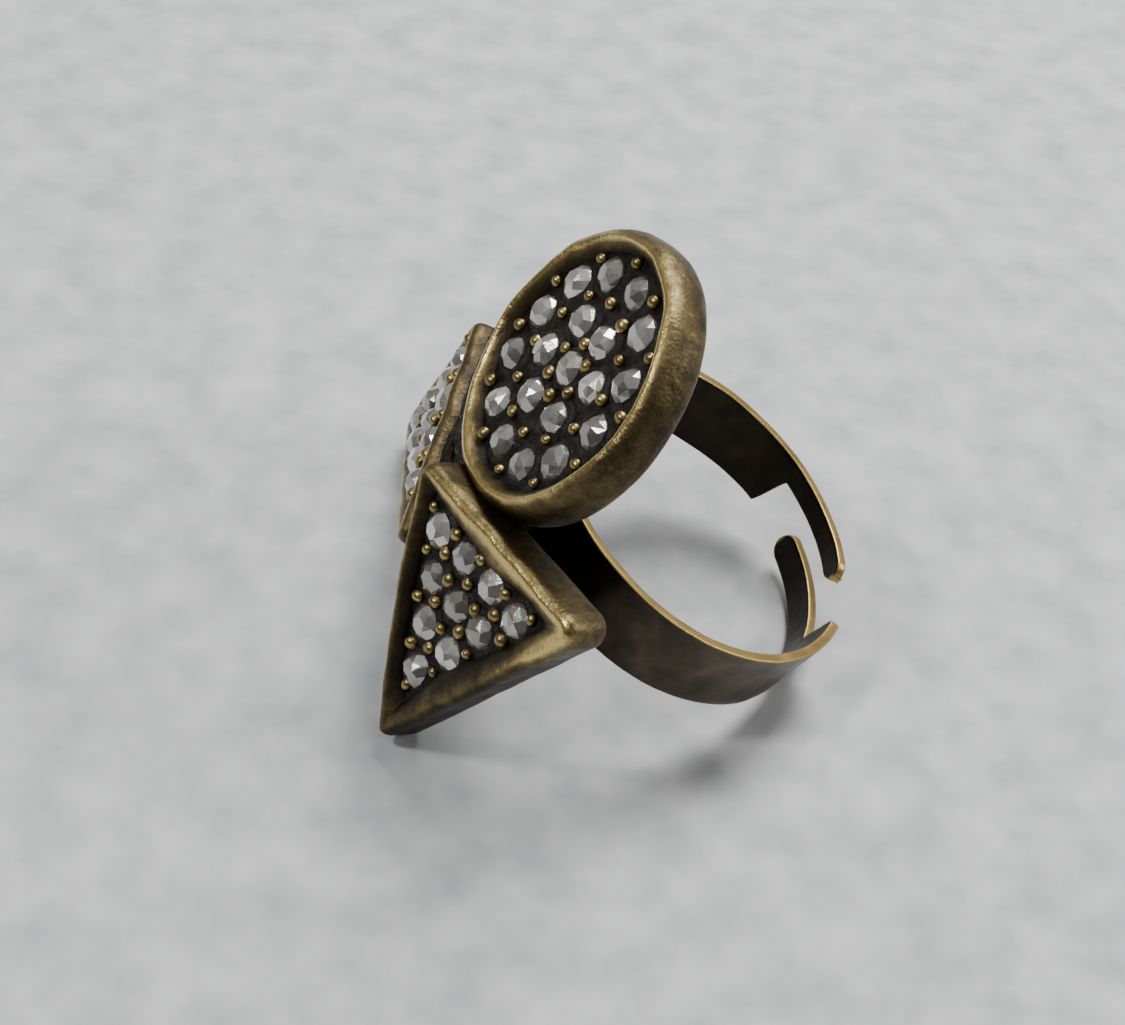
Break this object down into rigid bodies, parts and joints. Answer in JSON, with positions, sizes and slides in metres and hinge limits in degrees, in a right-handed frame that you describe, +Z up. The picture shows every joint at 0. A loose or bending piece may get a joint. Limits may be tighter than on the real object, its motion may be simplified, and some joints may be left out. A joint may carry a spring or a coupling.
{
  "type": "cocktail ring",
  "caption": "Adjustable antique-brass cocktail ring: a split bypass band under a cluster of round and triangular pave cups set with grey faceted stones.",
  "frame": {"origin": "middle of the finger hole, on its axis", "axes": "+Z is up with the ring lying on a table on three points: the lower edge of the band's near arm and one corner of each triangular cup; the finger hole's axis leans 30 degrees from +Z towards +X; +Y points away from the side the ring is usually looked at"},
  "size_m": [0.0248, 0.0254, 0.0236],
  "materials": {
    "band_brass": "antiqued, dark brown on the faces and rubbed bright along the edges",
    "head_brass": "antiqued satin, rubbed gold on the rims",
    "bead_brass": "rubbed gold with dark patina around each bead",
    "solder": "dark patina",
    "black_resin": "coarse and glittering",
    "black_enamel": "semi-gloss black",
    "grey_stone": "opaque faceted hematite grey"
  },
  "bodies": {
    "head": {"band_bridge": "band_brass", "saddle_block": "solder", "channel_filler": "black_resin", "round_cup": "head_brass", "round_bed": "black_enamel", "round_stones": "grey_stone", "round_beads": "bead_brass", "front_triangle_cup": "head_brass", "front_triangle_bed": "black_enamel", "front_triangle_stones": "grey_stone", "front_triangle_beads": "bead_brass", "back_triangle_cup": "head_brass", "back_triangle_bed": "black_enamel", "back_triangle_stones": "grey_stone", "back_triangle_beads": "bead_brass"},
    "near_arm": {"band_arm_near": "band_brass"},
    "far_arm": {"band_arm_far": "band_brass"}
  },
  "joints": [
    {"name": "near_arm_bend", "type": "hinge", "parent": "head", "child": "near_arm", "pos_m": [-0.00636, -0.00548, 0.00357], "axis": [-0.4945, 0.0075, -0.8691], "range_deg": [-3, 12]},
    {"name": "far_arm_bend", "type": "hinge", "parent": "head", "child": "far_arm", "pos_m": [-0.0012, 0.00901, 0.00076], "axis": [0.4945, -0.0075, 0.8691], "range_deg": [-3, 12]}
  ]
}
